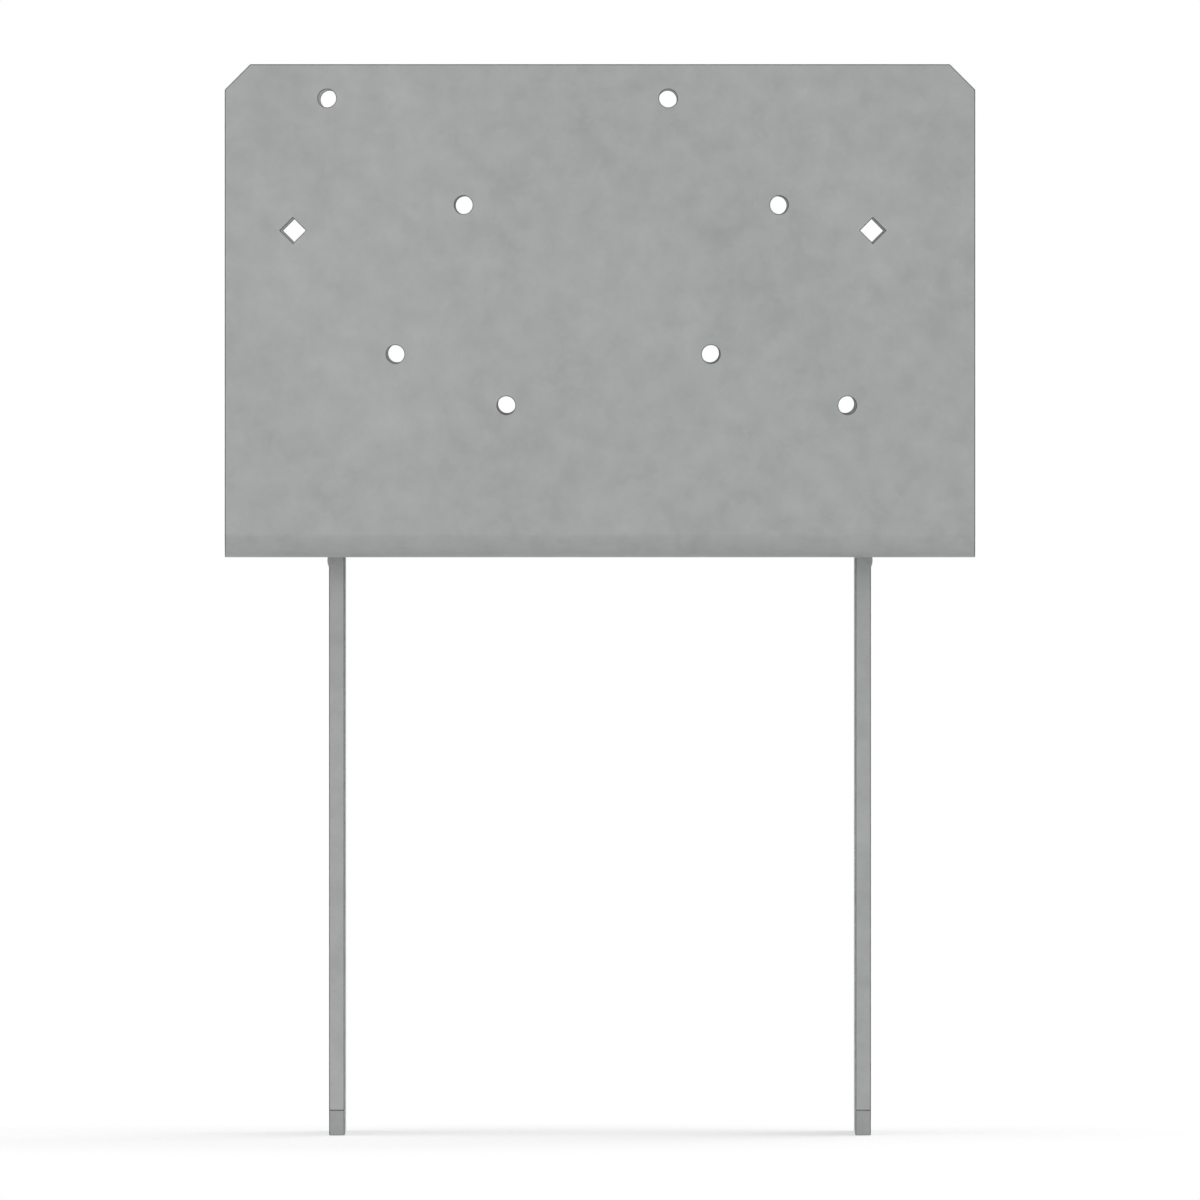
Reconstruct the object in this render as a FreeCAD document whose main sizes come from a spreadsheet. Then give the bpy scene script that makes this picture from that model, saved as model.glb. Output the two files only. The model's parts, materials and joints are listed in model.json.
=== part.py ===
import FreeCAD
import Part
import Sketcher
import math
import os
import re

# A welded column cap: a saddle of bent plate that takes a beam, over two straps that hold a post.
# X runs along the beam, Y across it and Z up. The origin is the middle of the seat, on its top face.
# All lengths are in millimetres.

DIMENSIONS = {
    # Plate that all pieces are cut from
    "plate_thickness": 5.8,
    "corner_chamfer": 9.5,          # 45 degree cut at the free corners of the side plates and straps
    "screw_hole_diameter": 6.75,
    # Saddle
    "saddle_length": 279.4,         # along the beam
    "beam_width": 190.5,            # clear width between the side plates
    "side_height": 177.8,           # side plates above the seat
    "bend_radius": 3.2,             # inside of the two bends
    # Screw rows in the side plates: drop from the top edge or rise from the seat, then the distance
    # of the left hole from the left end and of the right hole from the right end
    "row_one_drop": 12.7,
    "row_one_left": 38.1,
    "row_one_right": 114.3,
    "row_two_drop": 52.4,
    "row_two_left": 88.9,
    "row_two_right": 73.0,
    "row_three_rise": 69.85,
    "row_three_left": 63.5,
    "row_three_right": 98.4,
    "row_four_rise": 50.8,
    "row_four_left": 104.8,
    "row_four_right": 47.6,
    # Square pilot holes that stand on a corner
    "diamond_span": 9.5,            # corner to corner
    "diamond_drop": 61.9,
    "diamond_left": 25.4,
    "diamond_right": 38.1,
    # Post straps
    "post_width": 190.5,            # clear width between the straps
    "strap_width": 127.0,
    "strap_length": 215.9,          # below the underside of the seat
    "strap_row_end": 38.1,          # lowest screw row above the end of the strap
    "strap_row_pitch": 25.4,
    "strap_hole_near": 25.4,        # hole nearer to its edge of the strap
    "strap_hole_far": 50.8,         # hole further from the other edge, in the same row
    # Groove weld along the outside of each strap
    "weld_root_face": 1.8,          # part of the strap's top that is left square
    "weld_toe": 0.5,                # reach of the bead over the seat, past the strap
    "weld_crown_radius": 8.0,       # outer face of the bead
}

STRAP_ROWS = 4                      # each has two holes, and every other row is shifted across
EDGE_TOLERANCE = 1e-4
CUT_TOLERANCE = 0.01                # as a share of the volume that a cut should take away

# Numbers that a sketch uses for its own origin and for the start, end and centre of a piece of outline
SKETCH_ORIGIN = (-1, 1)
START, END, CENTRE = range(1, 4)
UPWARD = FreeCAD.Vector(0, 0, 1)

doc = FreeCAD.newDocument("ColumnCap")


def make_sheet():
    """Puts the driving dimensions into a spreadsheet, one alias for each."""
    sheet = doc.addObject("Spreadsheet::Sheet", "Sizes")
    for row, (alias, value) in enumerate(DIMENSIONS.items(), start=1):
        sheet.set(f"A{row}", alias)
        sheet.set(f"B{row}", str(value))
        sheet.setAlias(f"B{row}", alias)
    doc.recompute()
    return sheet


sheet = make_sheet()


def size(expression):
    """Gives the present value of an expression in the sheet's aliases."""
    return float(sheet.evalExpression(expression))


def linked(expression):
    """Writes an expression in the sheet's aliases as one that other objects can use."""
    return re.sub("[a-z_]+", lambda found: f"Sizes.{found.group()}", expression)


def bind(owner, path, expression):
    """Ties a property of a feature, or a measure of a sketch, to an expression."""
    owner.setExpression(path, linked(expression))


def new_body(label):
    body = doc.addObject("PartDesign::Body", label)
    body.Label = label
    return body


def new_sketch(body, name, plane, offset=None):
    """Makes a sketch on one of the body's own planes, moved along the plane's normal by an expression."""
    sketch = body.newObject("Sketcher::SketchObject", name)
    support = next(feature for feature in body.Origin.OriginFeatures if feature.Role == plane)
    sketch.AttachmentSupport = [(support, "")]
    sketch.MapMode = "FlatFace"
    if offset:
        bind(sketch, "AttachmentOffset.Base.z", offset)
    return sketch


def sketch_point(across, up):
    """Gives the present place of a point that two expressions describe."""
    return FreeCAD.Vector(size(across), size(up), 0)


def join(sketch, first, first_end, second, second_end):
    """Makes the ends of two pieces of outline meet."""
    sketch.addConstraint(Sketcher.Constraint("Coincident", first, first_end, second, second_end))


def pin(sketch, geometry, point, across, up):
    """Ties a point of the sketch to two expressions, measured from the sketch's origin."""
    for kind, expression in (("DistanceX", across), ("DistanceY", up)):
        distance = Sketcher.Constraint(kind, *SKETCH_ORIGIN, geometry, point, size(expression))
        number = sketch.addConstraint(distance)
        bind(sketch, f"Constraints[{number}]", expression)


def add_outline(sketch, corners, closed=True):
    """Draws straight lines from corner to corner, each corner tied to its two expressions."""
    stops = corners + corners[:1] if closed else corners
    points = [sketch_point(*stop) for stop in stops]
    lines = [sketch.addGeometry(Part.LineSegment(*ends)) for ends in zip(points, points[1:])]
    for line, corner in zip(lines, corners):
        pin(sketch, line, START, *corner)
    for line, follower in zip(lines, lines[1:]):
        join(sketch, line, END, follower, START)
    if closed:
        join(sketch, lines[-1], END, lines[0], START)
    else:
        pin(sketch, lines[-1], END, *corners[-1])
    return lines


def add_hole(sketch, across, up):
    """Draws one screw hole with its centre tied to two expressions."""
    radius = size("screw_hole_diameter") / 2
    circle = sketch.addGeometry(Part.Circle(sketch_point(across, up), UPWARD, radius))
    pin(sketch, circle, CENTRE, across, up)
    number = sketch.addConstraint(Sketcher.Constraint("Diameter", circle, 2 * radius))
    bind(sketch, f"Constraints[{number}]", "screw_hole_diameter")


def add_pad(body, name, sketch, length, side="Symmetric"):
    """Thickens a sketch by an expression, to both sides of it or to one."""
    pad = body.newObject("PartDesign::Pad", name)
    pad.Profile = sketch
    pad.SideType = side
    bind(pad, "Length", length)
    doc.recompute()


def cut_through(body, name, sketch, expected_volume):
    """Cuts a sketch through the body both ways, and compares what it took away with what it should."""
    volume_before = body.Shape.Volume
    pocket = body.newObject("PartDesign::Pocket", name)
    pocket.Profile = sketch
    pocket.Type = "ThroughAll"
    pocket.SideType = "Symmetric"
    doc.recompute()
    removed = volume_before - body.Shape.Volume
    if abs(removed - expected_volume) > CUT_TOLERANCE * expected_volume:
        raise RuntimeError(f"{name} took {removed:.1f} mm3 away instead of {expected_volume:.1f}")


def edges_at(shape, x=None, y=None, z=None):
    """Names the edges whose middle is at the given distances from the origin, on either side of it."""
    wanted = [None if place is None else abs(size(place)) for place in (x, y, z)]
    names = []
    for number, edge in enumerate(shape.Edges, start=1):
        misses = [
            abs(abs(found) - place)
            for found, place in zip(edge.CenterOfMass, wanted)
            if place is not None
        ]
        if max(misses) < EDGE_TOLERANCE:
            names.append(f"Edge{number}")
    return names


def dress_edges(body, kind, name, amount, **place):
    """Rounds or cuts the edges at a place, by an amount given as an expression."""
    base = body.Tip
    feature = body.newObject(f"PartDesign::{kind}", name)
    feature.Base = (base, edges_at(base.Shape, **place))
    bind(feature, "Radius" if kind == "Fillet" else "Size", amount)
    doc.recompute()


def hole_volume(count):
    """Gives the plate that a number of screw holes takes away."""
    return count * math.pi / 4 * size("screw_hole_diameter") ** 2 * size("plate_thickness")


def make_saddle():
    """Bends one plate to a U and cuts the holes through both side plates in line."""
    body = new_body("saddle")
    inside = "beam_width / 2"
    outside = "beam_width / 2 + plate_thickness"
    section = new_sketch(body, "saddle_section", "YZ_Plane")
    add_outline(section, [
        (f"-({outside})", "-plate_thickness"),
        (outside, "-plate_thickness"),
        (outside, "side_height"),
        (inside, "side_height"),
        (inside, "0"),
        (f"-({inside})", "0"),
        (f"-({inside})", "side_height"),
        (f"-({outside})", "side_height"),
    ])
    add_pad(body, "saddle_plate", section, "saddle_length")
    dress_edges(body, "Fillet", "inner_bends", "bend_radius", y=inside, z="0")
    outer_radius = "bend_radius + plate_thickness"
    dress_edges(body, "Fillet", "outer_bends", outer_radius, y=outside, z="plate_thickness")
    dress_edges(body, "Chamfer", "top_corner_chamfers", "corner_chamfer",
                x="saddle_length / 2", z="side_height")

    rows = {
        "row_one": "side_height - row_one_drop",
        "row_two": "side_height - row_two_drop",
        "row_three": "row_three_rise",
        "row_four": "row_four_rise",
    }
    plate_count = 2
    screws = new_sketch(body, "beam_screw_layout", "XZ_Plane")
    for row, height in rows.items():
        add_hole(screws, f"{row}_left - saddle_length / 2", height)
        add_hole(screws, f"saddle_length / 2 - {row}_right", height)
    cut_through(body, "beam_screw_holes", screws, hole_volume(2 * len(rows) * plate_count))

    diamonds = new_sketch(body, "diamond_layout", "XZ_Plane")
    centres = ("diamond_left - saddle_length / 2", "saddle_length / 2 - diamond_right")
    height = "side_height - diamond_drop"
    for centre in centres:
        add_outline(diamonds, [
            (f"{centre} - diamond_span / 2", height),
            (centre, f"{height} - diamond_span / 2"),
            (f"{centre} + diamond_span / 2", height),
            (centre, f"{height} + diamond_span / 2"),
        ])
    diamond_area = size("diamond_span") ** 2 / 2
    cut_through(body, "diamond_holes", diamonds,
                len(centres) * plate_count * diamond_area * size("plate_thickness"))
    return body


def place_on_side(body, side):
    """Leaves a piece on the right of the post, or turns it half a turn to the left."""
    degrees = 180 if side == "left" else 0
    body.Placement = FreeCAD.Placement(FreeCAD.Vector(), FreeCAD.Rotation(UPWARD, degrees))


def make_strap(side):
    """Cuts a flat strap that hangs from the seat, bevelled along its top for the weld."""
    body = new_body(f"{side}_post_strap")
    half_width = "strap_width / 2"
    lower_end = "-(plate_thickness + strap_length)"
    outline = new_sketch(body, f"{side}_strap_outline", "YZ_Plane", offset="post_width / 2")
    add_outline(outline, [
        (f"-({half_width})", lower_end),
        (half_width, lower_end),
        (half_width, "-plate_thickness"),
        (f"-({half_width})", "-plate_thickness"),
    ])
    add_pad(body, f"{side}_strap_plate", outline, "plate_thickness", side="One side")
    dress_edges(body, "Chamfer", f"{side}_end_corner_chamfers", "corner_chamfer", y=half_width, z=lower_end)
    dress_edges(body, "Chamfer", f"{side}_weld_bevel", "plate_thickness - weld_root_face",
                x="post_width / 2 + plate_thickness", z="plate_thickness")

    screws = new_sketch(body, f"{side}_post_screw_layout", "YZ_Plane")
    for row in range(STRAP_ROWS):
        height = f"{lower_end} + strap_row_end + {row} * strap_row_pitch"
        near_edge, far_edge = ("near", "far") if row % 2 == 0 else ("far", "near")
        add_hole(screws, f"strap_hole_{near_edge} - {half_width}", height)
        add_hole(screws, f"{half_width} - strap_hole_{far_edge}", height)
    cut_through(body, f"{side}_post_screw_holes", screws, hole_volume(2 * STRAP_ROWS))
    place_on_side(body, side)
    return body


def make_weld(side):
    """Fills the strap's bevel with a bead that stands a little proud, as long as the strap is wide."""
    body = new_body(f"{side}_weld_bead")
    section = new_sketch(body, f"{side}_weld_section", "XZ_Plane")
    foot = ("post_width / 2 + plate_thickness", "-(2 * plate_thickness - weld_root_face)")
    root = ("post_width / 2 + weld_root_face", "-plate_thickness")
    toe = ("post_width / 2 + plate_thickness + weld_toe", "-plate_thickness")
    foot_to_root, root_to_toe = add_outline(section, [foot, root, toe], closed=False)

    foot_point = sketch_point(*foot)
    toe_point = sketch_point(*toe)
    chord = toe_point - foot_point
    radius = size("weld_crown_radius")
    crown = radius - math.sqrt(radius ** 2 - (chord.Length / 2) ** 2)
    outward = FreeCAD.Vector(chord.y, -chord.x, 0).normalize()
    crown_point = (foot_point + toe_point) / 2 + outward * crown
    face = section.addGeometry(Part.Arc(foot_point, crown_point, toe_point))
    join(section, face, START, foot_to_root, START)
    join(section, face, END, root_to_toe, END)
    number = section.addConstraint(Sketcher.Constraint("Radius", face, radius))
    bind(section, f"Constraints[{number}]", "weld_crown_radius")
    add_pad(body, f"{side}_weld_run", section, "strap_width")
    place_on_side(body, side)
    return body


def write_parts(bodies):
    """Writes each piece to its own file, once every object of the document is sound."""
    doc.recompute()
    failed = [item.Name for item in doc.Objects if {"Invalid", "Error"} & set(item.State)]
    if failed:
        raise RuntimeError("failed: " + ", ".join(failed))
    for body in bodies:
        if body.Shape.isNull() or not body.Shape.isValid() or len(body.Shape.Solids) != 1:
            raise RuntimeError(f"{body.Label} is not one valid solid")
    os.makedirs("parts", exist_ok=True)
    for body in bodies:
        body.Shape.exportStep(f"parts/{body.Label}.step")
        print(f"{body.Label}: {body.Shape.Volume:.0f} mm3")


pieces = [make_saddle()]
for strap_side in ("left", "right"):
    pieces.append(make_strap(strap_side))
    pieces.append(make_weld(strap_side))
write_parts(pieces)
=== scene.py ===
import json
import math
import bmesh
import bpy
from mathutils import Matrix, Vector


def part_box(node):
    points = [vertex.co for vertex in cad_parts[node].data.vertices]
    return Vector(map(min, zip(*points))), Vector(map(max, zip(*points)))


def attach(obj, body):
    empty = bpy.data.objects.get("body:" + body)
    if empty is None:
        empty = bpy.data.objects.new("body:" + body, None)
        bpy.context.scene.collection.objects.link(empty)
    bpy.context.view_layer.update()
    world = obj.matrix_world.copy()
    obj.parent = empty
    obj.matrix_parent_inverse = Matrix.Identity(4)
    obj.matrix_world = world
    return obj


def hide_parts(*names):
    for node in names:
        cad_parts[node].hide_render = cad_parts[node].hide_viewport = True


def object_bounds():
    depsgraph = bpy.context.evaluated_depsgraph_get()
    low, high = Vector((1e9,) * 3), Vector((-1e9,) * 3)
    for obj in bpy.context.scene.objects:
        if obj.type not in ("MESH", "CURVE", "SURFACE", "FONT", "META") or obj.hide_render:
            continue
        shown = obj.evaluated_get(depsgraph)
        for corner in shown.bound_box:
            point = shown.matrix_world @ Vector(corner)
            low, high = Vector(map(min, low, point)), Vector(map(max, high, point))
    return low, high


# A galvanised steel column cap: a bent saddle for a beam, over two welded straps for a post.
# Lengths are in metres. X runs along the beam, Y across it and Z up. The seat's top face is at Z = 0.

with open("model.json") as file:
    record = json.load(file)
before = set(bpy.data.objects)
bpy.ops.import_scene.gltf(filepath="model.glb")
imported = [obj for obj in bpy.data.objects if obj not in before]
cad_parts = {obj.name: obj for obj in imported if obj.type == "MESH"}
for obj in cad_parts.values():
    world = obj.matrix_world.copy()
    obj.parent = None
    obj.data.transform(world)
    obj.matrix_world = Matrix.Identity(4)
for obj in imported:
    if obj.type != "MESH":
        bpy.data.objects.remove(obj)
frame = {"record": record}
cad_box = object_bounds()

MM = 0.001
UP = Vector((0, 0, 1))
BODY = "root"
FRONT = -1                                  # signs of Y on the two side plates
BACK = 1
STRAP_SIDES = {"right": 1, "left": -1}      # signs of X at the two straps

# Sizes of the solids, from their boxes
saddle_low, saddle_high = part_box("saddle")
strap_low, strap_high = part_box("right_post_strap")
weld_low, weld_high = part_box("right_weld_bead")
PLATE = -saddle_low.z
HALF_LENGTH = saddle_high.x
SIDE_HEIGHT = saddle_high.z
HALF_BEAM = saddle_high.y - PLATE           # half the clear width between the side plates
HALF_STRAP = strap_high.y
WELD_ROOT_FACE = weld_low.x - strap_low.x   # part of the strap's top that is left square
FLOOR_LEVEL = strap_low.z

# Screw holes, from the record
screw_patterns = [mount for mount in frame["record"]["mounts"] if mount["kind"] == "bolt_pattern"]
HOLE_RADIUS = screw_patterns[0]["dims"]["hole_r_mm"] * MM

# Sizes of the solids that neither the boxes nor the record give
BEND_RADIUS = 3.2 * MM                      # inside of the two bends
CORNER_CHAMFER = 9.5 * MM                   # 45 degree cut at the free corners
DIAMOND_SPAN = 9.5 * MM                     # corner to corner
DIAMOND_DROP = 61.9 * MM                    # below the top edge
DIAMOND_LEFT = 25.4 * MM                    # from the left end
DIAMOND_RIGHT = 38.1 * MM                   # from the right end
WELD_TOE = 0.5 * MM                         # reach of the bead over the seat, past the strap

# The saddle's flat blank across the bends, measured from its middle along the inner face
HALF_SEAT = HALF_BEAM - BEND_RADIUS         # flat part of the seat
BEND_LENGTH = BEND_RADIUS * math.pi / 2
BEND_END = HALF_SEAT + BEND_LENGTH
HALF_BLANK = BEND_END + SIDE_HEIGHT - BEND_RADIUS

# How edges are worked: the rounding that shears and punches leave
ARRIS = "arris"                             # face layer that is 1 on the rounding
ARRIS_RADIUS = 0.35 * MM
PUNCH_ENTRY_RADIUS = 0.28 * MM
PUNCH_EXIT_RADIUS = 0.2 * MM
CORNER_RADIUS = 0.6 * MM                    # of the outline's corners

# How finely the plates' round shapes are divided, and how they are shaded
ARRIS_STEPS = 4
CORNER_STEPS = 3
BEND_STEPS = 14
HOLE_STEPS = 56
SHARP_ANGLE = math.radians(30)              # edges that turn by more are shaded as creases
LARGE_FACE_WEIGHT = 100                     # the most: large faces set the shading at their edges

# Shape of the weld beads
WELD_CROWN = 0.18 * MM                      # height between ripples, over a straight line from foot to toe
WELD_END = 4.0 * MM                         # length over which the bead runs out flush with the strap
RIPPLE_PITCH = 2.3 * MM
RIPPLE_HEIGHT = 0.18 * MM
RIPPLE_SAG = 1.1 * MM                       # how far a ripple's ends trail behind its middle
RIPPLE_STEPS = 10                           # along each ripple
CROWN_STEPS = 12                            # across the bead

# Camera
PHOTO_SPAN = 446.7 * MM                     # width of the picture at the front side plate
AIM_LIFT = 0.3 * MM                         # of the picture's middle over the object's
LENS_MM = 1700.0
SENSOR_MM = 36.0
SIGHT = 100.0                               # how far the camera sees

# Studio
WHITE = (1, 1, 1, 1)
AMBIENT = 0.62                              # strength of the even light from all round
FLOOR_COLOUR = (0.85, 0.85, 0.85, 1)
FLOOR_LIFT = 0.40                           # added to the floor's own brightness where the camera sees it
FLOOR_RADIUS = 3.0
FLOOR_SIDES = 96
FADE_START = 0.3                            # distances from the middle between which the floor turns white
FADE_END = 0.6
LAMPS = {                                   # place, size, and how bright a white card that faces it looks
    "key": ((-1.2, -2.7, 0.3), 1.8, 0.16),
    "fill": ((2.2, -1.3, 0.6), 1.6, 0.05),
    "back": ((0.9, 2.2, 1.4), 1.6, 0.2),
}

# Finish of the plates
ZINC_DARK = (0.315, 0.325, 0.320, 1)
ZINC_LIGHT = (0.437, 0.447, 0.442, 1)
ZINC_METALLIC = 0.6
ZINC_ROUGHNESS = (0.42, 0.56)               # of the darkest and the lightest crystals
ZINC_BUMP = 0.12
# Painted shade on the rounded edges and hole rims: a dark colour, and its least and greatest share
PAINTED_EDGE_SHADE = (0.095, 0.098, 0.097, 1)
EDGE_SHADE_SHARES = (0.75, 1.0)                    # least and greatest share of that colour
SPANGLE_SIZE = 6.0 * MM
FROST_SIZE = 2.2 * MM
BLOTCH_SIZE = 10 * MM
CLOUD_SIZE = 60 * MM
CRYSTAL_TILT = 0.022                        # sideways share of the normal at a crystal's face

# Shares of the patterns in the zinc's tone, and the shift that puts their average half way
SPANGLE_SHARE = 0.28
FROST_SHARE = 0.08
BLOTCH_SHARE = 0.75
CLOUD_SHARE = 0.5
TONE_SHIFT = (1 - SPANGLE_SHARE - FROST_SHARE - BLOTCH_SHARE - CLOUD_SHARE) / 2

# Finish of the welds
WELD_DARK = (0.315, 0.322, 0.319, 1)
WELD_LIGHT = (0.415, 0.424, 0.420, 1)
WELD_METALLIC = 0.7
WELD_ROUGHNESS = (0.62, 0.46)               # of the darkest and the lightest blotches
WELD_BUMP = 0.3
WELD_BLOTCH_SIZE = 3.5 * MM
WELD_BLOTCH_DETAIL = 4.0

# Grain of both
GRAIN_SIZE = 0.5 * MM
GRAIN_HEIGHT = 0.1 * MM


def quarter_round(radius):
    """Steps over a rounding, from the face to the edge: the distance in from the edge, and the depth."""
    turns = [math.pi / 2 * step / ARRIS_STEPS for step in range(ARRIS_STEPS + 1)]
    return [(radius * (1 - math.sin(turn)), radius * (1 - math.cos(turn))) for turn in turns]


def edge_profile(inner_radius, outer_radius, stops=()):
    """Steps over a worked edge from the inner face to the outer one, each as for a rounding. Stops are
    depths of further steps on the straight part."""
    straight = [(0, stop) for stop in stops]
    outer = [(inset, PLATE - depth) for inset, depth in quarter_round(outer_radius)]
    return quarter_round(inner_radius) + straight + outer[::-1]


def ring_pairs(loop):
    """Pairs each item of a closed loop with the next."""
    return zip(loop, loop[1:] + loop[:1])


def crossing(first, second):
    """The point where two lines meet, each given by a point and a direction."""
    (start, along), (other, across) = first, second
    return start + along * ((other - start).cross(across) / along.cross(across))


def inset_corners(corners, distances):
    """Moves each side of an anticlockwise outline in by its own distance, and gives the new corners."""
    lines = []
    for (start, end), distance in zip(ring_pairs(corners), distances):
        along = (end - start).normalized()
        inward = Vector((-along.y, along.x))
        lines.append((start + inward * distance, along))
    return [crossing(before, after) for before, after in zip(lines[-1:] + lines[:-1], lines)]


def round_corners(corners, radius, sharp=()):
    """Gives the points of an arc in place of each corner of an anticlockwise outline, apart from the sharp
    ones. Each point says whether the stretch from it to the next is part of an arc."""
    points = []
    for number, (corner, after) in enumerate(ring_pairs(corners)):
        if number in sharp:
            points.append((corner, False))
            continue
        before = corners[number - 1]
        come = (corner - before).normalized()
        leave = (after - corner).normalized()
        turn = -come.angle_signed(leave)
        start = corner - come * radius * math.tan(turn / 2)
        inward = Vector((-come.y, come.x))
        for step in range(CORNER_STEPS + 1):
            part = turn * step / CORNER_STEPS
            point = start + come * radius * math.sin(part) + inward * radius * (1 - math.cos(part))
            points.append((point, step < CORNER_STEPS))
    return points


def round_hole(centre):
    """Gives the function that outlines a screw hole at each step over its edge."""
    turns = [2 * math.pi * step / HOLE_STEPS for step in range(HOLE_STEPS)]
    ways = [Vector((math.cos(turn), math.sin(turn))) for turn in turns]
    return lambda inset, depth: [(centre + way * (HOLE_RADIUS + inset), False) for way in ways]


def diamond_hole(centre):
    """Gives the function that outlines a diamond at each step over its edge."""
    ways = [Vector(way) for way in ((1, 0), (0, 1), (-1, 0), (0, -1))]
    reach = DIAMOND_SPAN / 2
    return lambda inset, depth: [(centre + way * (reach + inset * math.sqrt(2)), False) for way in ways]


class PlateMesh:
    """A plate under construction, between its inner face at depth 0 and its outer face."""

    def __init__(self, place):
        self.place = place                  # takes a point of the flat plate and a depth to a place in space
        self.mesh = bmesh.new()
        self.arris = self.mesh.faces.layers.float.new(ARRIS)

    def add_edge(self, outline, profile):
        """Builds the edge round an outline, which may change with the distance in and the depth, and gives
        its loops on the inner and the outer face."""
        loops = []
        for inset, depth in profile:
            points = outline(inset, depth)
            loops.append([self.mesh.verts.new(self.place(point, depth)) for point, _ in points])
        on_arc = [arc for _, arc in points]
        for number, (lower, upper) in enumerate(zip(loops, loops[1:])):
            rounded = profile[number][0] != profile[number + 1][0]
            for (first, second), (third, fourth), arc in zip(ring_pairs(lower), ring_pairs(upper), on_arc):
                face = self.mesh.faces.new((first, second, fourth, third))
                face[self.arris] = float(rounded or arc)
        return loops[0], loops[-1]

    def punch(self, outline):
        """Builds the edge of a hole that is punched from the outer face."""
        return self.add_edge(outline, edge_profile(PUNCH_EXIT_RADIUS, PUNCH_ENTRY_RADIUS))

    def fill(self, border, holes):
        """Fills a flat face between its border and the holes in it."""
        edges = []
        for loop in [border] + holes:
            for ends in ring_pairs(loop):
                edges.append(self.mesh.edges.get(ends) or self.mesh.edges.new(ends))
        bmesh.ops.triangle_fill(self.mesh, use_beauty=True, edges=edges)

    def finish(self, name, material):
        """Makes the piece, with flat faces that look flat up to their rounded edges."""
        bmesh.ops.recalc_face_normals(self.mesh, faces=self.mesh.faces)
        piece = new_piece(name, self.mesh, material)
        even = piece.modifiers.new("even_shading", "WEIGHTED_NORMAL")
        even.weight = LARGE_FACE_WEIGHT
        even.keep_sharp = True
        return piece


def new_piece(name, mesh, material):
    """Makes an object of a mesh under construction, smooth between its creases."""
    for face in mesh.faces:
        face.smooth = True
    data = bpy.data.meshes.new(name)
    mesh.to_mesh(data)
    mesh.free()
    data.set_sharp_from_angle(angle=SHARP_ANGLE)
    data.materials.append(material)
    piece = bpy.data.objects.new(name, data)
    bpy.context.scene.collection.objects.link(piece)
    return piece


def dress(piece, node):
    """Lets a piece stand for its solid."""
    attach(piece, BODY)
    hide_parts(node)


def screw_holes(prefix):
    """The centres of the holes of all screw patterns whose names start alike."""
    centres = []
    for pattern in screw_patterns:
        if not pattern["name"].startswith(prefix):
            continue
        middle = Vector(pattern["pos_m"])
        dims = pattern["dims"]
        across = UP.cross(Vector(pattern["axis"])) * dims["spacing_x_mm"] * MM / 2
        rise = UP * dims.get("spacing_y_mm", 0) * MM / 2
        for shift in ([rise, -rise] if rise.length else [rise]):
            centres.append(middle + shift + across)
            centres.append(middle + shift - across)
    return centres


def bent(point, depth):
    """The place in space of a point of the saddle's flat blank: X along the beam, Y across the bends."""
    side = math.copysign(1, point.y)
    reach = abs(point.y)
    if reach <= HALF_SEAT:
        return (point.x, point.y, -depth)
    if reach < BEND_END:
        turn = (reach - HALF_SEAT) / BEND_RADIUS
        radius = BEND_RADIUS + depth
        return (point.x, side * (HALF_SEAT + radius * math.sin(turn)), BEND_RADIUS - radius * math.cos(turn))
    return (point.x, side * (HALF_BEAM + depth), reach - BEND_END + BEND_RADIUS)


def on_blank(side, x, z):
    """The point of the flat blank that becomes a place on the front or the back side plate."""
    return Vector((x, side * (BEND_END + z - BEND_RADIUS)))


def saddle_rows():
    """Lines across the blank at the start, the steps and the end of both bends, from front to back."""
    bend = [HALF_SEAT + BEND_LENGTH * step / BEND_STEPS for step in range(BEND_STEPS + 1)]
    return [-reach for reach in reversed(bend)] + bend


def saddle_outline(inset, depth):
    """The blank's outline: the cut corners in front, the right end with a point at each row, the cut
    corners at the back and the left end."""
    x, y, cut = HALF_LENGTH, HALF_BLANK, CORNER_CHAMFER
    corners = [(-x, cut - y), (cut - x, -y), (x - cut, -y), (x, cut - y),
               (x, y - cut), (x - cut, y), (cut - x, y), (-x, y - cut)]
    moved = inset_corners([Vector(corner) for corner in corners], [inset] * len(corners))
    rounded = round_corners(moved, CORNER_RADIUS - inset)
    front, back = rounded[:len(rounded) // 2], rounded[len(rounded) // 2:]
    rows = saddle_rows()
    right = [(Vector((x - inset, row)), False) for row in rows]
    left = [(Vector((inset - x, row)), False) for row in reversed(rows)]
    return front + right + back + left


def punch_side_plate(plate, side, prefix):
    """Punches the screw holes and the diamonds of one side plate, and gives the loops of each."""
    screws = [on_blank(side, hole.x, hole.z) for hole in screw_holes(prefix)]
    across = (DIAMOND_LEFT - HALF_LENGTH, HALF_LENGTH - DIAMOND_RIGHT)
    diamonds = [on_blank(side, x, SIDE_HEIGHT - DIAMOND_DROP) for x in across]
    outlines = [round_hole(centre) for centre in screws] + [diamond_hole(centre) for centre in diamonds]
    return [plate.punch(outline) for outline in outlines]


def make_saddle(material):
    """Bends one plate to a U, with its edges worked and the side plates' holes punched from outside."""
    plate = PlateMesh(bent)
    faces = plate.add_edge(saddle_outline, edge_profile(ARRIS_RADIUS, ARRIS_RADIUS))
    front_holes = punch_side_plate(plate, FRONT, "front_beam")
    back_holes = punch_side_plate(plate, BACK, "back_beam")
    rows = len(saddle_rows())
    for number, loop in enumerate(faces):
        half = len(loop) // 2
        front, right = loop[:half - rows], loop[half - rows:half]
        back, left = loop[half:-rows], loop[-rows:][::-1]
        for (first, second), (third, fourth) in zip(zip(right, right[1:]), zip(left, left[1:])):
            plate.mesh.faces.new((first, second, fourth, third))
        plate.fill(front + [right[0], left[0]], [loops[number] for loops in front_holes])
        plate.fill(back + [left[-1], right[-1]], [loops[number] for loops in back_holes])
    dress(plate.finish("saddle_plate", material), "saddle")


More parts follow.
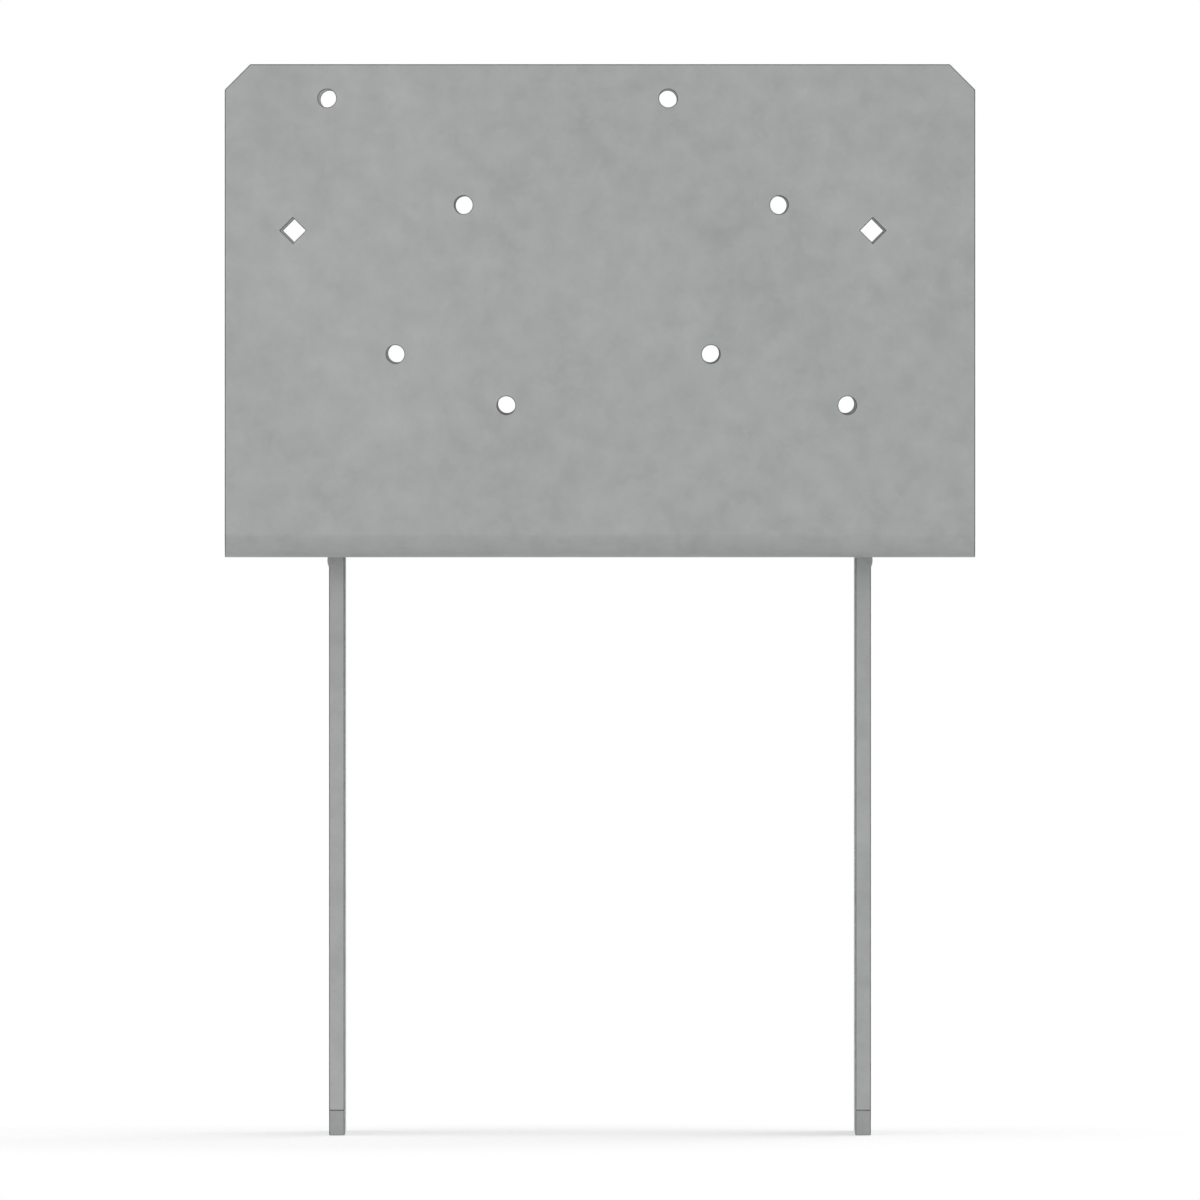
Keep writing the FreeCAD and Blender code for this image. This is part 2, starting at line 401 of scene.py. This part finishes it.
def strap_outline(inset, depth):
    """A strap's outline: Y across, Z up, with both lower corners cut and the top bevelled for the weld."""
    y, low, high, cut = HALF_STRAP, strap_low.z, strap_high.z, CORNER_CHAMFER
    corners = [(cut - y, low), (y - cut, low), (y, low + cut), (y, high), (-y, high), (-y, low + cut)]
    top_right, top_left = 3, 4
    bevel = max(0, depth - WELD_ROOT_FACE)
    moved = inset_corners([Vector(corner) for corner in corners], [inset, inset, inset, bevel, inset, inset])
    return round_corners(moved, CORNER_RADIUS - inset, sharp=(top_right, top_left))


def make_strap(side, sign, material):
    """Cuts a flat strap. The left one is the right one turned half a turn about Z."""
    def stand(point, depth):
        return (sign * (strap_low.x + depth), sign * point.x, point.y)

    plate = PlateMesh(stand)
    faces = plate.add_edge(strap_outline, edge_profile(ARRIS_RADIUS, ARRIS_RADIUS, stops=[WELD_ROOT_FACE]))
    centres = [Vector((sign * hole.y, hole.z)) for hole in screw_holes(f"{side}_post")]
    holes = [plate.punch(round_hole(centre)) for centre in centres]
    for number, loop in enumerate(faces):
        plate.fill(loop, [loops[number] for loops in holes])
    dress(plate.finish(f"{side}_strap_plate", material), f"{side}_post_strap")


def bead_ring(y):
    """Points round the bead's section at a distance along it: the crown from foot to toe, then the root."""
    left_over = min(1, (HALF_STRAP - abs(y)) / WELD_END)
    proud = math.sqrt(1 - (1 - left_over) ** 2)
    foot = Vector((strap_high.x, weld_low.z))
    toe = Vector((strap_high.x + WELD_TOE * proud, weld_high.z))
    root = Vector((weld_low.x, weld_high.z))
    chord = toe - foot
    outward = Vector((chord.y, -chord.x)).normalized()
    ring = []
    for step in range(CROWN_STEPS + 1):
        place = step / CROWN_STEPS
        bulge = 4 * place * (1 - place)
        trail = RIPPLE_SAG * (1 - bulge)
        ripple = RIPPLE_HEIGHT * abs(math.sin(math.pi * (y + trail) / RIPPLE_PITCH))
        ring.append(foot + chord * place + outward * bulge * proud * (WELD_CROWN + ripple))
    return ring + [root]


def make_weld(side, sign, material):
    """Lays a rippled bead into the bevel on top of a strap. The left one is turned as its strap is."""
    mesh = bmesh.new()
    count = round(2 * HALF_STRAP / RIPPLE_PITCH * RIPPLE_STEPS)
    rings = []
    for number in range(count + 1):
        y = HALF_STRAP * (2 * number / count - 1)
        rings.append([mesh.verts.new((sign * point.x, sign * y, point.y)) for point in bead_ring(y)])
    for before, after in zip(rings, rings[1:]):
        for (first, second), (third, fourth) in zip(ring_pairs(before), ring_pairs(after)):
            mesh.faces.new((first, second, fourth, third))
    for end in (rings[0], rings[-1]):
        mesh.faces.new(end)
    bmesh.ops.recalc_face_normals(mesh, faces=mesh.faces)
    dress(new_piece(f"{side}_weld_run", mesh, material), f"{side}_weld_bead")


def add_node(tree, kind, inputs=None, **options):
    """Adds a node. Each input is set to a value, or linked if it is given another node's output."""
    node = tree.nodes.new(kind)
    for name, value in options.items():
        setattr(node, name, value)
    for name, value in (inputs or {}).items():
        if isinstance(value, bpy.types.NodeSocket):
            tree.links.new(value, node.inputs[name])
        else:
            node.inputs[name].default_value = value
    return node


def calculate(tree, operation, *values):
    """Calculates with numbers, or outputs that give them."""
    return add_node(tree, "ShaderNodeMath", dict(enumerate(values)), operation=operation).outputs[0]


def calculate_vector(tree, operation, *vectors):
    """Calculates with vectors, or outputs that give them."""
    node = add_node(tree, "ShaderNodeVectorMath", dict(enumerate(vectors)), operation=operation)
    return node.outputs["Vector"]


def blend_colours(tree, share, first, second):
    """Mixes two colours, or outputs that give them, by a share."""
    factor, first_colour, second_colour, result = 0, 6, 7, 2
    inputs = {factor: share, first_colour: first, second_colour: second}
    return add_node(tree, "ShaderNodeMix", inputs, data_type="RGBA").outputs[result]


def spread(tree, value, limits):
    """Takes a value from 0 to 1 to a range."""
    low, high = limits
    inputs = {"Value": value, "To Min": low, "To Max": high}
    return add_node(tree, "ShaderNodeMapRange", inputs).outputs["Result"]


def new_material(name):
    """Starts a material with no nodes, and gives it and its node tree."""
    material = bpy.data.materials.new(name)
    material.use_nodes = True
    material.node_tree.nodes.clear()
    return material, material.node_tree


def object_place(tree):
    """The place of a point in its object's own frame."""
    return add_node(tree, "ShaderNodeTexCoord").outputs["Object"]


def noise(tree, place, size, detail=2.0):
    """Soft noise with patches of about a given size."""
    inputs = {"Vector": place, "Scale": 1 / size, "Detail": detail}
    return add_node(tree, "ShaderNodeTexNoise", inputs)


def crystals(tree, place, size):
    """A random colour for each zinc crystal of about a given size, with uneven borders."""
    uneven = noise(tree, place, size / 2).outputs["Color"]
    shifted = calculate_vector(tree, "MULTIPLY_ADD", uneven, (size, size, size), place)
    return add_node(tree, "ShaderNodeTexVoronoi", {"Vector": shifted, "Scale": 1 / size}).outputs["Color"]


def shade_of(tree, colour):
    """A random shade for each crystal, which has nothing to do with the way that it is tipped."""
    return add_node(tree, "ShaderNodeTexWhiteNoise", {"Vector": colour}).outputs["Value"]


def tilted_normal(tree, colour):
    """The surface's normal, tipped a little in each crystal's own direction."""
    middle_colour = (0.5, 0.5, 0.5)
    tilt = (CRYSTAL_TILT, CRYSTAL_TILT, CRYSTAL_TILT)
    normal = add_node(tree, "ShaderNodeNewGeometry").outputs["Normal"]
    way = calculate_vector(tree, "SUBTRACT", colour, middle_colour)
    tipped = calculate_vector(tree, "MULTIPLY_ADD", way, tilt, normal)
    return calculate_vector(tree, "NORMALIZE", tipped)


def grain_bump(tree, place, strength, **inputs):
    """The surface's normal with a fine grain."""
    grain = noise(tree, place, GRAIN_SIZE).outputs["Fac"]
    inputs.update({"Height": grain, "Strength": strength, "Distance": GRAIN_HEIGHT})
    return add_node(tree, "ShaderNodeBump", inputs).outputs["Normal"]


def finish_metal(tree, colour, metallic, roughness, normal):
    """Puts a metal's shader on the material's surface."""
    shader = add_node(tree, "ShaderNodeBsdfPrincipled", {
        "Base Color": colour,
        "Metallic": metallic,
        "Roughness": roughness,
        "Normal": normal,
    })
    add_node(tree, "ShaderNodeOutputMaterial", {"Surface": shader.outputs["BSDF"]})


def galvanised_steel():
    """Zinc coat with a soft spangle: crystals of two sizes, blotches and clouds, and painted shade along the
    arrises.
    """
    material, tree = new_material("galvanised_steel")
    place = object_place(tree)
    facets = crystals(tree, place, SPANGLE_SIZE)
    spangle = shade_of(tree, facets)
    frost = shade_of(tree, crystals(tree, place, FROST_SIZE))
    blotch = noise(tree, place, BLOTCH_SIZE).outputs["Fac"]
    cloud = noise(tree, place, CLOUD_SIZE).outputs["Fac"]

    tone = TONE_SHIFT
    patterns = ((spangle, SPANGLE_SHARE), (frost, FROST_SHARE), (blotch, BLOTCH_SHARE), (cloud, CLOUD_SHARE))
    for pattern, share in patterns:
        tone = calculate(tree, "MULTIPLY_ADD", pattern, share, tone)
    zinc = blend_colours(tree, tone, ZINC_DARK, ZINC_LIGHT)
    # Painted shade along the rounded edges, made uneven by the small crystals
    arris = add_node(tree, "ShaderNodeAttribute", attribute_name=ARRIS).outputs["Fac"]
    edge_shade = calculate(tree, "MULTIPLY", arris, spread(tree, frost, EDGE_SHADE_SHARES))
    colour = blend_colours(tree, edge_shade, zinc, PAINTED_EDGE_SHADE)

    roughness = spread(tree, spangle, ZINC_ROUGHNESS)
    normal = grain_bump(tree, place, ZINC_BUMP, Normal=tilted_normal(tree, facets))
    finish_metal(tree, colour, ZINC_METALLIC, roughness, normal)
    return material


def zinc_coated_weld():
    """Weld metal under zinc: rougher than the plate, blotched where the coat is thin."""
    material, tree = new_material("zinc_coated_weld")
    place = object_place(tree)
    blotch = noise(tree, place, WELD_BLOTCH_SIZE, detail=WELD_BLOTCH_DETAIL).outputs["Fac"]
    colour = blend_colours(tree, blotch, WELD_DARK, WELD_LIGHT)
    roughness = spread(tree, blotch, WELD_ROUGHNESS)
    finish_metal(tree, colour, WELD_METALLIC, roughness, grain_bump(tree, place, WELD_BUMP))
    return material


def background_rays(tree):
    """Two outputs that are 1 for rays that show the background: the camera's own, and those of reflections
    and glass."""
    rays = add_node(tree, "ShaderNodeLightPath").outputs
    return rays["Is Camera Ray"], calculate(tree, "ADD", rays["Is Glossy Ray"], rays["Is Transmission Ray"])


def studio_floor():
    """Pale floor that shows the object's shadow near it, and is white further out and in reflections."""
    material, tree = new_material("studio_floor")
    length = add_node(tree, "ShaderNodeVectorMath", {0: object_place(tree)}, operation="LENGTH")
    fade = add_node(tree, "ShaderNodeMapRange", {
        "Value": length.outputs["Value"],
        "From Min": FADE_START,
        "From Max": FADE_END,
    }, interpolation_type="SMOOTHSTEP")
    seen, mirrored = background_rays(tree)
    white_share = calculate(tree, "MULTIPLY_ADD", seen, fade.outputs["Result"], mirrored)

    painted = add_node(tree, "ShaderNodeBsdfDiffuse", {"Color": FLOOR_COLOUR})
    lift = add_node(tree, "ShaderNodeEmission", {"Strength": calculate(tree, "MULTIPLY", seen, FLOOR_LIFT)})
    near = add_node(tree, "ShaderNodeAddShader", {0: painted.outputs[0], 1: lift.outputs[0]})
    white = add_node(tree, "ShaderNodeEmission", {"Strength": 1.0})
    mixed = add_node(tree, "ShaderNodeMixShader", {0: white_share, 1: near.outputs[0], 2: white.outputs[0]})
    add_node(tree, "ShaderNodeOutputMaterial", {"Surface": mixed.outputs[0]})
    return material


def make_floor():
    """Lays a round floor under the straps."""
    mesh = bmesh.new()
    bmesh.ops.create_circle(mesh, cap_ends=True, segments=FLOOR_SIDES, radius=FLOOR_RADIUS)
    floor = new_piece("floor", mesh, studio_floor())
    floor.location.z = FLOOR_LEVEL


def make_world():
    """Even light from all round, which the camera and reflections see as white."""
    world = bpy.data.worlds.new("studio")
    world.use_nodes = True
    tree = world.node_tree
    tree.nodes.clear()
    white_share = calculate(tree, "ADD", *background_rays(tree))
    ambient = add_node(tree, "ShaderNodeBackground", {"Color": WHITE, "Strength": AMBIENT}).outputs[0]
    white = add_node(tree, "ShaderNodeBackground", {"Color": WHITE, "Strength": 1.0}).outputs[0]
    mixed = add_node(tree, "ShaderNodeMixShader", {0: white_share, 1: ambient, 2: white})
    add_node(tree, "ShaderNodeOutputWorld", {"Surface": mixed.outputs[0]})
    bpy.context.scene.world = world


def add_lamp(name, place, size, brightness):
    """Adds a square softbox aimed at the object."""
    light = bpy.data.lights.new(name, "AREA")
    light.size = size
    lamp = bpy.data.objects.new(name, light)
    lamp.location = place
    light.energy = brightness * (math.pi * lamp.location.length) ** 2
    lamp.rotation_euler = (-lamp.location).to_track_quat("-Z", "Y").to_euler()
    lamp.visible_camera = False
    bpy.context.scene.collection.objects.link(lamp)


def make_camera():
    """Looks at the front from far away, level with the middle of the screw rows, so that the holes of
    both side plates line up."""
    data = bpy.data.cameras.new("camera")
    data.lens = LENS_MM
    data.sensor_width = SENSOR_MM
    data.clip_end = SIGHT
    camera = bpy.data.objects.new("camera", data)
    heights = [hole.z for hole in screw_holes("front_beam")]
    distance = PHOTO_SPAN * LENS_MM / SENSOR_MM
    target = Vector((0, -saddle_high.y, (cad_box[0].z + cad_box[1].z) / 2 + AIM_LIFT))
    camera.location = (0, target.y - distance, (min(heights) + max(heights)) / 2)
    camera.rotation_euler = (target - camera.location).to_track_quat("-Z", "Y").to_euler()
    bpy.context.scene.collection.objects.link(camera)
    bpy.context.scene.camera = camera


steel = galvanised_steel()
weld_metal = zinc_coated_weld()
make_saddle(steel)
for strap_side, strap_sign in STRAP_SIDES.items():
    make_strap(strap_side, strap_sign, steel)
    make_weld(strap_side, strap_sign, weld_metal)
make_floor()
make_world()
for lamp_name, lamp_settings in LAMPS.items():
    add_lamp(lamp_name, *lamp_settings)
make_camera()
bpy.context.scene.view_settings.view_transform = "Standard"
